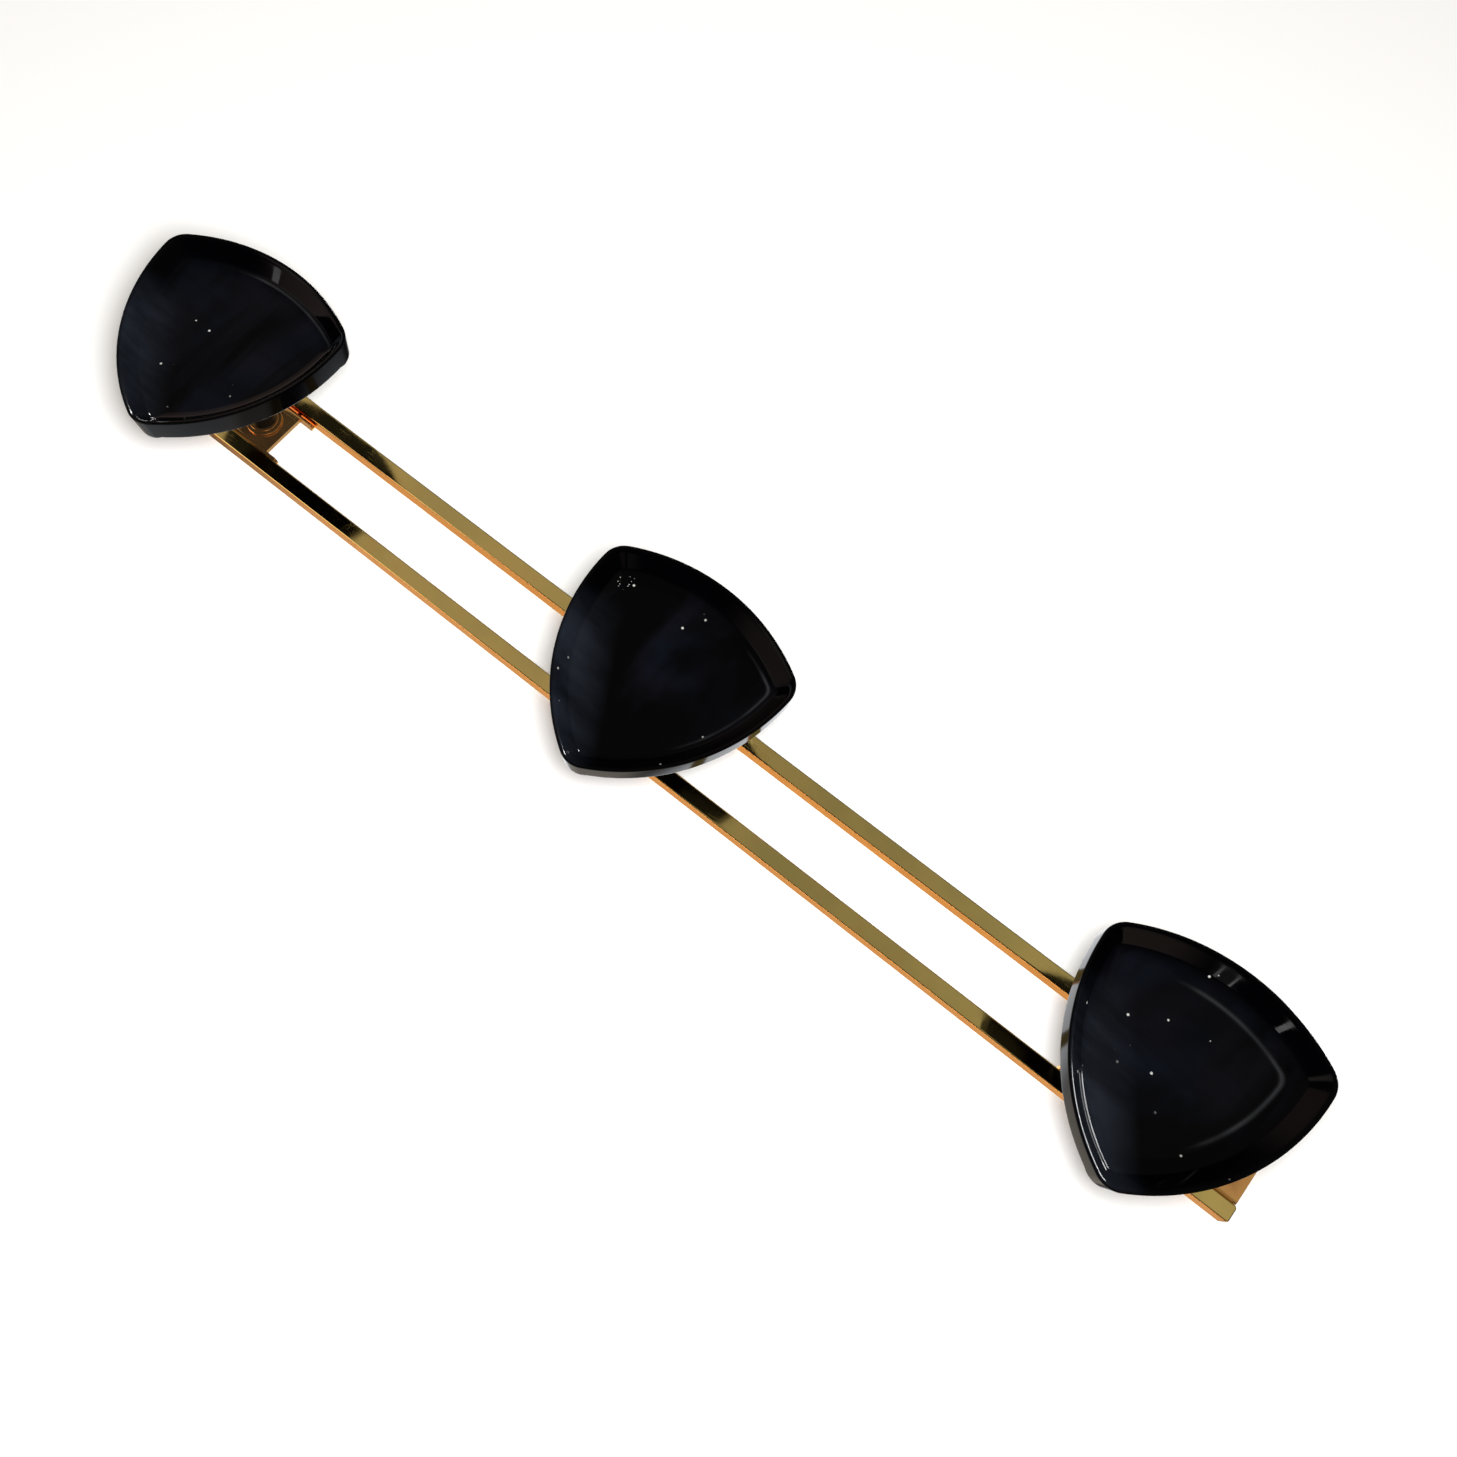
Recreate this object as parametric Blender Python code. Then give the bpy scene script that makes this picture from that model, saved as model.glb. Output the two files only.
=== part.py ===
"""Wall coat rack: two slim square rails on folded brackets, carrying three dished black knobs.

Run it with "blender --background --python part.py" or from Blender's text editor.

Units are metres. +X runs along the rails, +Z is up and the front faces -Y. The wall is the plane
y = 0, and the origin is the middle of the lower rail's back face. Heights "above the wall" are
measured towards -Y, and a knob's own outline is drawn in its X-Z plane around its turning axis.
"""

from math import atan2, cos, pi, radians, sin, sqrt

import bmesh
import bpy

MM = 0.001
CLEAR = 0.3 * MM                 # gap left between pieces that meet

# Rails: two square bars with slightly softened edges
RAIL_LENGTH = 635.0 * MM
RAIL_SIDE = 7.94 * MM
RAIL_GAP = 28.57 * MM
RAIL_EDGE = 0.5 * MM
AXIS_Z = (RAIL_GAP + RAIL_SIDE) / 2

# Knobs: a rounded triangle with bowed sides, one corner pointing down
SIDES = ("left", "middle", "right")
KNOB_PITCH = 250.0 * MM
KNOB_X = {"left": -KNOB_PITCH, "middle": 0.0, "right": KNOB_PITCH}
KNOB_TURN = {"left": 5.1, "middle": -1.8, "right": 1.0}      # degrees, seen from the front
SIDE_CENTRE = 45.3 * MM          # how far a side's arc centre lies behind the knob's axis
SIDE_REACH = 43.75 * MM          # from the axis to the middle of a side
CORNER_RADIUS = 10.9 * MM
CORNER_STEPS = 6
SIDE_STEPS = 10
RIM_HEIGHT = 70.9 * MM           # rim above the wall
KNOB_DEPTH = 11.4 * MM           # height of the knob's outer wall
DRAFT = 0.9 * MM                 # how much smaller the outline is at the underside
LUG = 0.8 * MM                   # the underside's edge stands this much lower at the corners
FLOOR_DEPTH = 9.2 * MM           # deepest point of the dish under its rim
BOSS_RADIUS = 10.0 * MM
BOSS_LENGTH = 8.0 * MM
UNDERSIDE = RIM_HEIGHT - KNOB_DEPTH
BOSS_END = UNDERSIDE - BOSS_LENGTH

# Brackets: sheet folded back to the wall along both rails
SHEET = 2.0 * MM
PLATE_FRONT = 5.0 * MM           # front of the plate above the wall
BEND = 2.4 * MM                  # outer radius of the fold
BEND_STEPS = 5
PLATE_REACH = 13.0 * MM          # plate beyond a knob's axis, towards the middle of the rack
EAR = 7.0 * MM                   # round-ended flange tab beyond the plate
EAR_STEPS = 10
FLANGE_OUT = RAIL_GAP / 2 - CLEAR
FLANGE_IN = FLANGE_OUT - SHEET
PLATE_BACK = PLATE_FRONT - SHEET
WALL_HOLE_X = 298.0 * MM
WALL_HOLE_RADIUS = 2.4 * MM
WALL_SINK_RADIUS = 4.6 * MM

# Fasteners and the posts that hold the knobs off the wall
BOLT_RADIUS = 2.4 * MM
BOLT_HEAD_RADIUS = 4.6 * MM
BOLT_HEAD = 1.5 * MM
HOLE_RADIUS = BOLT_RADIUS + CLEAR
BACK_WASHER = 0.5 * MM
BACK_WASHER_RADIUS = 5.2 * MM
BASE_WASHER = 1.0 * MM
BASE_WASHER_RADIUS = 9.0 * MM
BASE_STEP_RADIUS = 7.2 * MM
BASE_STEP = 0.5 * MM
STEM_BASE_RADIUS = 6.2 * MM
STEM_TOP_RADIUS = 9.0 * MM
INSERT_RADIUS = 3.9 * MM
INSERT_LENGTH = 7.0 * MM
RIVET_RADIUS = 0.8 * MM
RIVET_HEAD_RADIUS = 1.2 * MM
RIVET_HEAD = 0.8 * MM
RIVET_REACH = 3.1 * MM           # how far a rivet enters its rail
RIVET_Y = 1.5 * MM               # rivet line above the wall
ROUND = 24                       # sides of a round piece
SMALL_ROUND = 12                 # sides of a rivet


# ---------------------------------------------------------------- materials

def material(name, colour, roughness, metallic):
    """Make a Principled material with one colour, roughness and metallic value."""
    made = bpy.data.materials.new(name)
    made.use_nodes = True
    shader = made.node_tree.nodes["Principled BSDF"]
    shader.inputs["Base Color"].default_value = (*colour, 1.0)
    shader.inputs["Roughness"].default_value = roughness
    shader.inputs["Metallic"].default_value = metallic
    return made


# ---------------------------------------------------------------- mesh helpers

def add_mesh(name, mesh, skin, place=(0.0, 0.0, 0.0), turn=(0.0, 0.0, 0.0)):
    """Link an object that uses mesh, shaded smooth up to 35 degrees."""
    mesh.shade_smooth()
    mesh.set_sharp_from_angle(angle=radians(35))
    if skin is not None and not mesh.materials:
        mesh.materials.append(skin)
    made = bpy.data.objects.new(name, mesh)
    made.location = place
    made.rotation_euler = turn
    bpy.context.scene.collection.objects.link(made)
    return made


def finish_mesh(name, shape):
    """Turn a bmesh into a mesh whose faces all point outwards."""
    bmesh.ops.recalc_face_normals(shape, faces=shape.faces)
    mesh = bpy.data.meshes.new(name)
    shape.to_mesh(mesh)
    shape.free()
    return mesh


def loft(name, rings, closed=False):
    """Skin a row of rings; a ring of one point closes an end, and closed joins last to first."""
    shape = bmesh.new()
    rows = [[shape.verts.new(point) for point in ring] for ring in rings]
    pairs = list(zip(rows, rows[1:]))
    if closed:
        pairs.append((rows[-1], rows[0]))
    for near, far in pairs:
        count = max(len(near), len(far))
        for i in range(count):
            j = (i + 1) % count
            if len(near) == 1:
                shape.faces.new((near[0], far[i], far[j]))
            elif len(far) == 1:
                shape.faces.new((near[i], far[0], near[j]))
            else:
                shape.faces.new((near[i], far[i], far[j], near[j]))
    return finish_mesh(name, shape)


def circle(radius, height, sides=ROUND):
    """Points of a circle around the Y axis, at a height above the wall."""
    if radius == 0.0:
        return [(0.0, -height, 0.0)]
    angles = [2 * pi * i / sides for i in range(sides)]
    return [(radius * cos(a), -height, radius * sin(a)) for a in angles]


def turned(name, profile, sides=ROUND, closed=False):
    """Turn a profile of (radius, height) pairs around the Y axis."""
    return loft(name, [circle(radius, height, sides) for radius, height in profile], closed)


def prism(name, outline, start, end, along):
    """Extrude a flat outline; along 'X' it holds (y, z) points and along 'Z' (x, y) points."""
    place = {"X": lambda p, t: (t, p[0], p[1]), "Z": lambda p, t: (p[0], p[1], t)}[along]
    shape = bmesh.new()
    rows = [[shape.verts.new(place(point, t)) for point in outline] for t in (start, end)]
    count = len(outline)
    for i in range(count):
        j = (i + 1) % count
        shape.faces.new((rows[0][i], rows[0][j], rows[1][j], rows[1][i]))
    for row in rows:
        shape.faces.new(row)
    return finish_mesh(name, shape)


def arc(centre, radius, start, end, steps):
    """Points of an arc in a plane, with both ends; angles are in degrees."""
    angles = [radians(start + (end - start) * i / steps) for i in range(steps + 1)]
    return [(centre[0] + radius * cos(a), centre[1] + radius * sin(a)) for a in angles]


def cut(target, name, mesh, place=(0.0, 0.0, 0.0), turn=(0.0, 0.0, 0.0)):
    """Cut a closed shape out of target with an exact Boolean."""
    cutter = add_mesh(name, mesh, None, place, turn)
    cutter.hide_render = True
    cutter.display_type = "WIRE"
    step = target.modifiers.new(name, "BOOLEAN")
    step.operation = "DIFFERENCE"
    step.solver = "EXACT"
    step.object = cutter


# ---------------------------------------------------------------- rails

def bracket_span(side):
    """Low and high X of a bracket's plate, and whether each end has ears."""
    middle = KNOB_X[side]
    if side == "left":
        return -RAIL_LENGTH / 2, middle + PLATE_REACH, False, True
    if side == "right":
        return middle - PLATE_REACH, RAIL_LENGTH / 2, True, False
    return middle - PLATE_REACH, middle + PLATE_REACH, True, True


def rivet_places(side):
    """X of a bracket's two rivet rows."""
    low, high, _, _ = bracket_span(side)
    inset = 4.5 * MM
    return low + inset, high - inset


def rail(name, middle_z, brass):
    """A square bar with softened edges and a blind hole for every rivet."""
    shape = bmesh.new()
    bmesh.ops.create_cube(shape, size=1.0)
    bmesh.ops.scale(shape, vec=(RAIL_LENGTH, RAIL_SIDE, RAIL_SIDE), verts=shape.verts)
    made = add_mesh(name, finish_mesh(name, shape), brass, (0.0, -RAIL_SIDE / 2, middle_z))
    soften = made.modifiers.new("soft_edges", "BEVEL")
    soften.width = RAIL_EDGE
    soften.segments = 2
    soften.limit_method = "ANGLE"
    upper = middle_z > AXIS_Z
    face = middle_z - RAIL_SIDE / 2 if upper else middle_z + RAIL_SIDE / 2
    tilt = radians(-90) if upper else radians(90)
    drill = [(0.0, -CLEAR), (RIVET_RADIUS + CLEAR, -CLEAR),
             (RIVET_RADIUS + CLEAR, RIVET_REACH + CLEAR), (0.0, RIVET_REACH + CLEAR)]
    for side in SIDES:
        for number, x in enumerate(rivet_places(side), 1):
            label = f"{name}_drill_{side}_{number}"
            cut(made, label, turned(label, drill, SMALL_ROUND), (x, -RIVET_Y, face), (tilt, 0.0, 0.0))


# ---------------------------------------------------------------- brackets

def channel_section():
    """The folded sheet's section in (y, z): a plate with a rounded fold down to each flange."""
    inner = BEND - SHEET
    outer_z = FLANGE_OUT - BEND
    front = -(PLATE_FRONT - BEND)
    points = [(0.0, FLANGE_OUT)]
    points += arc((front, outer_z), BEND, 90, 180, BEND_STEPS)
    points += arc((front, -outer_z), BEND, 180, 270, BEND_STEPS)
    points += [(0.0, -FLANGE_OUT), (0.0, -FLANGE_IN)]
    points += arc((front, -outer_z), inner, 270, 180, 2)
    points += arc((front, outer_z), inner, 180, 90, 2)
    points.append((0.0, FLANGE_IN))
    return [(y, AXIS_Z + z) for y, z in points]


def ear_trim(tip, outward):
    """Outline in (x, y) of what is cut away around a round-ended ear."""
    radius = PLATE_FRONT / 2 + 0.1 * MM
    centre = tip - outward * radius
    edge = 1.0 * MM
    around = arc((0.0, -PLATE_FRONT / 2), radius, -90, 90, EAR_STEPS)
    points = [(centre + outward * x, y) for x, y in around]
    far = tip + outward * edge
    return points + [(centre, edge), (far, edge), (far, -PLATE_FRONT - edge), (centre, -PLATE_FRONT - edge)]


def bracket(side, brass):
    """Fold one bracket, then cut its ears, its bolt hole, its rivet holes and its wall hole."""
    low, high, ears_low, ears_high = bracket_span(side)
    start = low - EAR if ears_low else low
    end = high + EAR if ears_high else high
    name = f"bracket_{side}"
    made = add_mesh(name, prism(name, channel_section(), start, end, "X"), brass)
    reach = FLANGE_OUT + SHEET
    for has_ears, plate_end, outward, label in ((ears_low, low, -1, "low"), (ears_high, high, 1, "high")):
        if not has_ears:
            continue
        tip = plate_end + outward * EAR
        window = [(plate_end, 1.0 * MM), (tip + outward * MM, 1.0 * MM),
                  (tip + outward * MM, -PLATE_FRONT - MM), (plate_end, -PLATE_FRONT - MM)]
        cut(made, f"{name}_window_{label}", prism("window", window, AXIS_Z - FLANGE_IN, AXIS_Z + FLANGE_IN, "Z"))
        trim = ear_trim(tip, outward)
        cut(made, f"{name}_ear_{label}", prism("ear", trim, AXIS_Z - reach, AXIS_Z + reach, "Z"))
    through = [(0.0, PLATE_BACK - MM), (HOLE_RADIUS, PLATE_BACK - MM),
               (HOLE_RADIUS, PLATE_FRONT + MM), (0.0, PLATE_FRONT + MM)]
    cut(made, f"{name}_bolt_hole", turned("bolt_hole", through), (KNOB_X[side], 0.0, AXIS_Z))
    if side != "middle":
        sink = [(0.0, PLATE_BACK - MM), (WALL_HOLE_RADIUS, PLATE_BACK - MM),
                (WALL_HOLE_RADIUS, PLATE_BACK + 0.4 * MM), (WALL_SINK_RADIUS + 0.5 * MM, PLATE_FRONT + 0.5 * MM),
                (0.0, PLATE_FRONT + 0.5 * MM)]
        x = WALL_HOLE_X if side == "right" else -WALL_HOLE_X
        cut(made, f"{name}_wall_hole", turned("wall_hole", sink), (x, 0.0, AXIS_Z))
    pierce = [(0.0, -MM), (RIVET_RADIUS + CLEAR, -MM),
              (RIVET_RADIUS + CLEAR, SHEET + MM), (0.0, SHEET + MM)]
    for number, x in enumerate(rivet_places(side), 1):
        for end_name, way in (("upper", 1), ("lower", -1)):
            cut(made, f"{name}_rivet_hole_{end_name}_{number}", turned("rivet_hole", pierce, SMALL_ROUND),
                (x, -RIVET_Y, AXIS_Z + way * FLANGE_IN), (radians(-90 * way), 0.0, 0.0))


def rivets(side, brass):
    """Four small rivets that hold a bracket's flanges to the two rails."""
    head = SHEET + 2 * CLEAR
    profile = [(0.0, 0.0), (RIVET_HEAD_RADIUS * 0.75, 0.0), (RIVET_HEAD_RADIUS, RIVET_HEAD * 0.5),
               (RIVET_HEAD_RADIUS, RIVET_HEAD), (RIVET_RADIUS, RIVET_HEAD),
               (RIVET_RADIUS, RIVET_HEAD + head + RIVET_REACH), (0.0, RIVET_HEAD + head + RIVET_REACH)]
    mesh = turned(f"rivet_{side}", profile, SMALL_ROUND)
    number = 0
    for x in rivet_places(side):
        for way in (1, -1):
            number += 1
            z = AXIS_Z + way * (FLANGE_IN - CLEAR - RIVET_HEAD)
            add_mesh(f"rivet_{side}_{number}", mesh, brass, (x, -RIVET_Y, z), (radians(-90 * way), 0.0, 0.0))


# ---------------------------------------------------------------- knobs

def knob_outline(inset, corner):
    """Points around a rounded triangle inside the rim's outline, as (x, z, is_corner)."""
    side_radius = SIDE_CENTRE + SIDE_REACH - inset
    gap = side_radius - corner
    corner_reach = (sqrt(4 * gap ** 2 - 3 * SIDE_CENTRE ** 2) - SIDE_CENTRE) / 2
    corner_half = atan2(SIDE_CENTRE * sqrt(3) / 2, corner_reach + SIDE_CENTRE / 2)
    side_half = pi / 3 - corner_half
    points = []
    for number in range(3):
        vertex = radians(-90 + 120 * number)
        for i in range(CORNER_STEPS + 1):
            a = vertex + corner_half * (2 * i / CORNER_STEPS - 1)
            points.append((corner_reach * cos(vertex) + corner * cos(a),
                           corner_reach * sin(vertex) + corner * sin(a), True))
        side = vertex + pi / 3
        for i in range(1, SIDE_STEPS):
            a = side + side_half * (2 * i / SIDE_STEPS - 1)
            points.append((side_radius * cos(a) - SIDE_CENTRE * cos(side),
                           side_radius * sin(a) - SIDE_CENTRE * sin(side), False))
    return points


def outline_ring(inset, corner, height, lug=0.0):
    """A ring of the knob's outline at a height above the wall, lower by lug at the corners."""
    return [(x, -(height - lug if is_corner else height), z)
            for x, z, is_corner in knob_outline(inset, corner)]


def boss_ring(radius, height):
    """A circle with one point for each point of the knob's outline, in the same directions."""
    points = []
    for x, z, _ in knob_outline(0.0, CORNER_RADIUS):
        a = atan2(z, x)
        points.append((radius * cos(a), -height, radius * sin(a)))
    return points


def knob_rings():
    """Rings from the bore's end, over the boss, the underside and the rim, to the dish's middle."""
    bore = INSERT_RADIUS + CLEAR
    bore_end = BOSS_END + INSERT_LENGTH + 2 * CLEAR
    floor = RIM_HEIGHT - FLOOR_DEPTH
    rings = [[(0.0, -bore_end, 0.0)]]
    rings += [boss_ring(radius, height) for radius, height in (
        (bore, bore_end), (bore, BOSS_END), (BOSS_RADIUS - 0.6 * MM, BOSS_END),
        (BOSS_RADIUS, BOSS_END + 0.6 * MM), (BOSS_RADIUS, UNDERSIDE - 1.2 * MM),
        (BOSS_RADIUS + 1.2 * MM, UNDERSIDE))]
    rings += [outline_ring(4.5 * MM, 6.8 * MM, UNDERSIDE),
              outline_ring(2.4 * MM, 8.6 * MM, UNDERSIDE, LUG),
              outline_ring(DRAFT + 0.3 * MM, 9.8 * MM, UNDERSIDE + 0.3 * MM, LUG),
              outline_ring(DRAFT, 10.0 * MM, UNDERSIDE + 1.2 * MM, LUG / 2),
              outline_ring(0.0, CORNER_RADIUS, RIM_HEIGHT - 0.9 * MM),
              outline_ring(0.3 * MM, 10.6 * MM, RIM_HEIGHT - 0.2 * MM),
              outline_ring(0.9 * MM, 10.0 * MM, RIM_HEIGHT),
              outline_ring(1.6 * MM, 9.0 * MM, RIM_HEIGHT - 0.2 * MM),
              outline_ring(7.4 * MM, 4.0 * MM, RIM_HEIGHT - 7.0 * MM),
              outline_ring(9.5 * MM, 4.0 * MM, RIM_HEIGHT - 8.0 * MM),
              outline_ring(12.5 * MM, 5.0 * MM, floor + 0.6 * MM),
              outline_ring(16.5 * MM, 6.0 * MM, floor + 0.2 * MM),
              outline_ring(27.0 * MM, 4.0 * MM, floor),
              [(0.0, -floor, 0.0)]]
    return rings


def knob(side, mesh, black):
    """Place one knob with its origin on its turning axis, turned to where it stands at rest."""
    add_mesh(f"knob_{side}", mesh, black, (KNOB_X[side], 0.0, AXIS_Z), (0.0, radians(-KNOB_TURN[side]), 0.0))


def hardware_meshes():
    """Meshes of the turned pieces that every knob shares, each around its knob's axis."""
    washer_top = PLATE_FRONT + CLEAR + BASE_WASHER + BASE_STEP
    stem_low = washer_top + CLEAR
    stem_high = BOSS_END - CLEAR
    insert_low = BOSS_END + CLEAR
    insert_high = insert_low + INSERT_LENGTH
    back_high = PLATE_BACK - CLEAR
    head_high = back_high - BACK_WASHER - CLEAR
    stem = [(HOLE_RADIUS, stem_low), (STEM_BASE_RADIUS, stem_low),
            (STEM_BASE_RADIUS, stem_low + 6 * MM), (STEM_BASE_RADIUS + 0.8 * MM, stem_low + 16 * MM),
            (STEM_TOP_RADIUS, stem_high - 4 * MM), (STEM_TOP_RADIUS, stem_high), (HOLE_RADIUS, stem_high)]
    base_low = PLATE_FRONT + CLEAR
    base = [(HOLE_RADIUS, base_low), (BASE_WASHER_RADIUS, base_low),
            (BASE_WASHER_RADIUS, base_low + BASE_WASHER), (BASE_STEP_RADIUS, base_low + BASE_WASHER),
            (BASE_STEP_RADIUS, washer_top), (HOLE_RADIUS, washer_top)]
    back = [(HOLE_RADIUS, back_high - BACK_WASHER), (BACK_WASHER_RADIUS, back_high - BACK_WASHER),
            (BACK_WASHER_RADIUS, back_high), (HOLE_RADIUS, back_high)]
    insert = [(HOLE_RADIUS, insert_low), (INSERT_RADIUS - 0.3 * MM, insert_low),
              (INSERT_RADIUS, insert_low + 0.3 * MM), (INSERT_RADIUS, insert_high), (HOLE_RADIUS, insert_high)]
    bolt_end = insert_high - 0.5 * MM
    bolt = [(0.0, head_high - BOLT_HEAD + 0.6 * MM), (1.4 * MM, head_high - BOLT_HEAD + 0.6 * MM),
            (1.6 * MM, head_high - BOLT_HEAD), (BOLT_HEAD_RADIUS - 0.5 * MM, head_high - BOLT_HEAD),
            (BOLT_HEAD_RADIUS, head_high - BOLT_HEAD + 0.5 * MM), (BOLT_HEAD_RADIUS, head_high),
            (BOLT_RADIUS, head_high), (BOLT_RADIUS, bolt_end - 0.6 * MM),
            (BOLT_RADIUS - 0.6 * MM, bolt_end), (0.0, bolt_end)]
    return {"stem": turned("stem", stem, closed=True), "base_washer": turned("base_washer", base, closed=True),
            "back_washer": turned("back_washer", back, closed=True),
            "insert": turned("insert", insert, closed=True), "bolt": turned("bolt", bolt)}


# ---------------------------------------------------------------- assembly

def main():
    """Clear the scene and build every piece."""
    for old in list(bpy.data.objects):
        bpy.data.objects.remove(old)
    brass = material("brass", (0.62, 0.50, 0.26), 0.22, 1.0)
    black = material("black_gloss", (0.012, 0.013, 0.016), 0.12, 0.0)
    post = material("black_lacquer", (0.015, 0.015, 0.016), 0.25, 0.0)
    steel = material("zinc_steel", (0.55, 0.56, 0.58), 0.35, 1.0)
    rail("rail_lower", 0.0, brass)
    rail("rail_upper", 2 * AXIS_Z, brass)
    knob_mesh = loft("knob", knob_rings())
    hardware = hardware_meshes()
    skins = {"stem": post, "base_washer": brass, "back_washer": steel, "insert": brass, "bolt": steel}
    for side in SIDES:
        bracket(side, brass)
        rivets(side, brass)
        knob(side, knob_mesh, black)
        for piece, mesh in hardware.items():
            add_mesh(f"{piece}_{side}", mesh, skins[piece], (KNOB_X[side], 0.0, AXIS_Z))


main()
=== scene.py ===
"""Studio scene of a wall coat rack: two square brass rails, folded brackets and three black knobs.

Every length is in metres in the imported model's frame: +X runs along the rails, +Z is up, the front
faces -Y and the wall is the plane y = 0. Heights "above the wall" are measured towards -Y.
"""

from math import atan2, cos, degrees, pi, radians, sin, sqrt

import bmesh
import bpy
from mathutils import Matrix, Vector


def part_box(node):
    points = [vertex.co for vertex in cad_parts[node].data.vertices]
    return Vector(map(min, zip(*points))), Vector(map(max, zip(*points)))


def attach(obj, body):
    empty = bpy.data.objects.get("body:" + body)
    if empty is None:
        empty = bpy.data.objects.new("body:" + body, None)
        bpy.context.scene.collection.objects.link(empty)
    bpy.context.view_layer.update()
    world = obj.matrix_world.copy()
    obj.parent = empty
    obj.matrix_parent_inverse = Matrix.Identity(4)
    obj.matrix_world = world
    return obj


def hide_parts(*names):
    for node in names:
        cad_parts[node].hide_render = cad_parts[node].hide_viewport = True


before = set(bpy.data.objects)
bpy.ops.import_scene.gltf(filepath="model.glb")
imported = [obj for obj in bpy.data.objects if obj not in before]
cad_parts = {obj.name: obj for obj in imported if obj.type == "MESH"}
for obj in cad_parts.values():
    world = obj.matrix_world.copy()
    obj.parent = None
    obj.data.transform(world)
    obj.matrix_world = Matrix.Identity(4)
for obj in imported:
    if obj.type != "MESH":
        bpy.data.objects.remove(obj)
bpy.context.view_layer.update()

MM = 0.001
SIDES = ("left", "middle", "right")

# Camera: where it stands, and how it is turned in degrees
CAMERA_PLACE = (0.1113, -0.5018, -0.1344)
CAMERA_TURN = (106.784, -39.138, -1.062)
CAMERA_LENS = 28.51
CAMERA_SHIFT = (0.0535, 0.0600)

# Front lamp: beside the lens, a little to its right
FRONT_PLACE = (0.1270, -0.5040, -0.1120)
FRONT_RADIUS = 0.065
FRONT_POWER = 52.0

# Backdrop paper: half its width, how far behind the wall plane it hangs and where the floor lies
PAPER_REACH = 4.0
PAPER_BEHIND = 0.6 * MM
FLOOR_Z = -0.9
PAPER_GLOW = 0.05

# Knobs: a rounded triangle with bowed sides, one corner pointing down
KNOB_TURN = {"left": 5.1, "middle": -1.8, "right": 1.0}      # degrees, seen from the front
SIDE_CENTRE = 45.3 * MM          # how far a side's arc centre lies behind the knob's axis
SIDE_REACH = 43.75 * MM          # from the axis to the middle of a side
CORNER_RADIUS = 10.9 * MM        # of the outline's corners at the rim
CORNER_STEPS = 18
SIDE_STEPS = 40
BOSS_RADIUS = 10.0 * MM
BOSS_END = 51.5 * MM             # above the wall, like the two heights below
UNDERSIDE = 59.5 * MM            # flat back of a knob
DISH_FLOOR = 61.7 * MM           # middle of its dish
BORE_RADIUS = 4.2 * MM
BORE_DEPTH = 7.6 * MM

# A knob's section from its flat back round the rim into the dish, in mm: inset from the rim, corner
# radius, height above the wall, how much lower the corners stand, and how far a rounding reaches
KNOB_SHELL = (
    (4.5, 6.8, 59.5, 0.0, 0.0),
    (3.2, 7.9, 59.5, 0.0, 0.0),
    (2.4, 8.6, 59.5, 0.8, 0.0),
    (0.9, 10.0, 59.5, 0.8, 0.9),
    (0.8, 10.1, 61.2, 0.4, 0.0),
    (0.0, 10.9, 70.9, 0.0, 0.9),
    (1.5, 9.1, 70.9, 0.0, 2.4),
    (7.3, 4.6, 64.0, 0.0, 0.6),
    (9.4, 4.6, 63.0, 0.0, 1.4),
    (12.3, 5.0, 62.2, 0.0, 0.8),
    (17.0, 6.0, 61.9, 0.0, 3.0),
    (26.0, 6.0, 61.75, 0.0, 3.0),
    (33.0, 5.0, 61.7, 0.0, 0.0),
)

# Painted highlight: a light line along part of each dish's edge, where a reflection falls: its
# inset from the rim, and the directions in degrees that it runs between
PAINTED_GLINT_LINES = {"left": (8.6 * MM, 20.0, 125.0), "middle": (10.0 * MM, -45.0, 60.0),
             "right": (14.8 * MM, -58.0, 125.0)}
LINE_WIDTH = 0.9 * MM
LINE_FADE = 25.0                 # degrees

# Painted reflection: a bluish sheen painted into the lower left of each dish, in place of a window's
# reflection
PAINTED_SHEEN_LEFT = Vector((-0.85, 0.0, -0.53))    # it grows this way, towards the rim
PAINTED_SHEEN_DOWN = Vector((0.53, 0.0, -0.85))     # and this way, from nothing at its top
PAINTED_SHEEN_START = {"left": 20.0 * MM, "middle": 19.0 * MM, "right": 14.0 * MM}
PAINTED_SHEEN_TOP = -32.0 * MM
PAINTED_SHEEN_FADE = 20.0 * MM
PAINTED_SHEEN_INSET = 2.0 * MM
CRUMB_HEAP = (-0.0370, -0.0625, 0.0411)      # a little heap of dust in the middle dish

# Brackets: sheet folded back to the wall along both rails
SHEET = 2.0 * MM                 # thickness
SHEET_EDGE = 0.22 * MM           # bevel of its edges
PLATE_FRONT = 5.0 * MM           # height of the plate's face above the wall
PLATE_BACK = PLATE_FRONT - SHEET
PLATE_REACH = 13.0 * MM          # from a post's axis to a plate's end
BEND = 2.4 * MM
BEND_STEPS = 10
INNER_STEPS = 4
EAR = 7.0 * MM                   # how far a flange's round-ended ear runs past the plate
EAR_RADIUS = PLATE_FRONT / 2 + 0.1 * MM
EAR_STEPS = 24
WALL_HOLE_X = 298.0 * MM
WALL_HOLE_RADIUS = 2.4 * MM
WALL_HOLE_LAND = 0.4 * MM        # straight part behind the countersink
WALL_SINK_RADIUS = 4.6 * MM

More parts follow.
